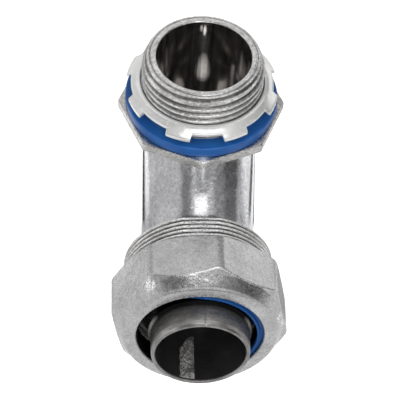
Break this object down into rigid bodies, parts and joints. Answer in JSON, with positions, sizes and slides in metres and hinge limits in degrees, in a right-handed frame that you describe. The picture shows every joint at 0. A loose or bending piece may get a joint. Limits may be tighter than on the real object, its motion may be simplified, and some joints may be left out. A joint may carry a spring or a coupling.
{
  "type": "liquidtight conduit connector",
  "caption": "Right-angle liquidtight connector for flexible conduit: cast elbow with threaded hub and flange, lugged locknut, sealing gasket, ferrule, gland ring and octagonal gland nut.",
  "frame": {"origin": "centre of the flange's seat face, which lies on the outside of the box wall", "axes": "+Z along the hub, out through its tip and into the box; -Y along the conduit, out of the gland nut; X = 0 is the plane of the bend"},
  "size_m": [0.0482, 0.0839, 0.0765],
  "materials": {
    "cast_body": "bright die-cast zinc",
    "cast_nut": "satin die-cast zinc",
    "ferrule_metal": "plated steel",
    "locknut_metal": "satin plated",
    "blue_seal": "satin"
  },
  "bodies": {
    "elbow": {"elbow_body": "cast_body", "ferrule": "ferrule_metal"},
    "gasket": {"hub_gasket": "blue_seal"},
    "locknut": {"hub_locknut": "locknut_metal"},
    "ring": {"gland_ring": "blue_seal"},
    "nut": {"gland_nut": "cast_nut"}
  },
  "joints": [
    {"name": "gasket_turn", "type": "hinge", "parent": "elbow", "child": "gasket", "pos_m": [0, 0, 0], "axis": [0, 0, 1], "range_deg": [-255, 1152]},
    {"name": "locknut_travel", "type": "slide", "parent": "gasket", "child": "locknut", "axis": [0, 0, 1], "range_m": [-0.0016, 0.0071]},
    {"name": "ring_travel", "type": "slide", "parent": "elbow", "child": "ring", "axis": [0, -1, 0], "range_m": [-0.002, 0.0078]},
    {"name": "nut_turn", "type": "hinge", "parent": "ring", "child": "nut", "pos_m": [0, 0, -0.0347], "axis": [0, -1, 0], "range_deg": [-486, 1980]}
  ],
  "couplings": [
    {"joint": "locknut_travel", "follows": "gasket_turn", "m_per_rad": 0.00035157},
    {"joint": "ring_travel", "follows": "nut_turn", "m_per_rad": 0.00022457}
  ]
}
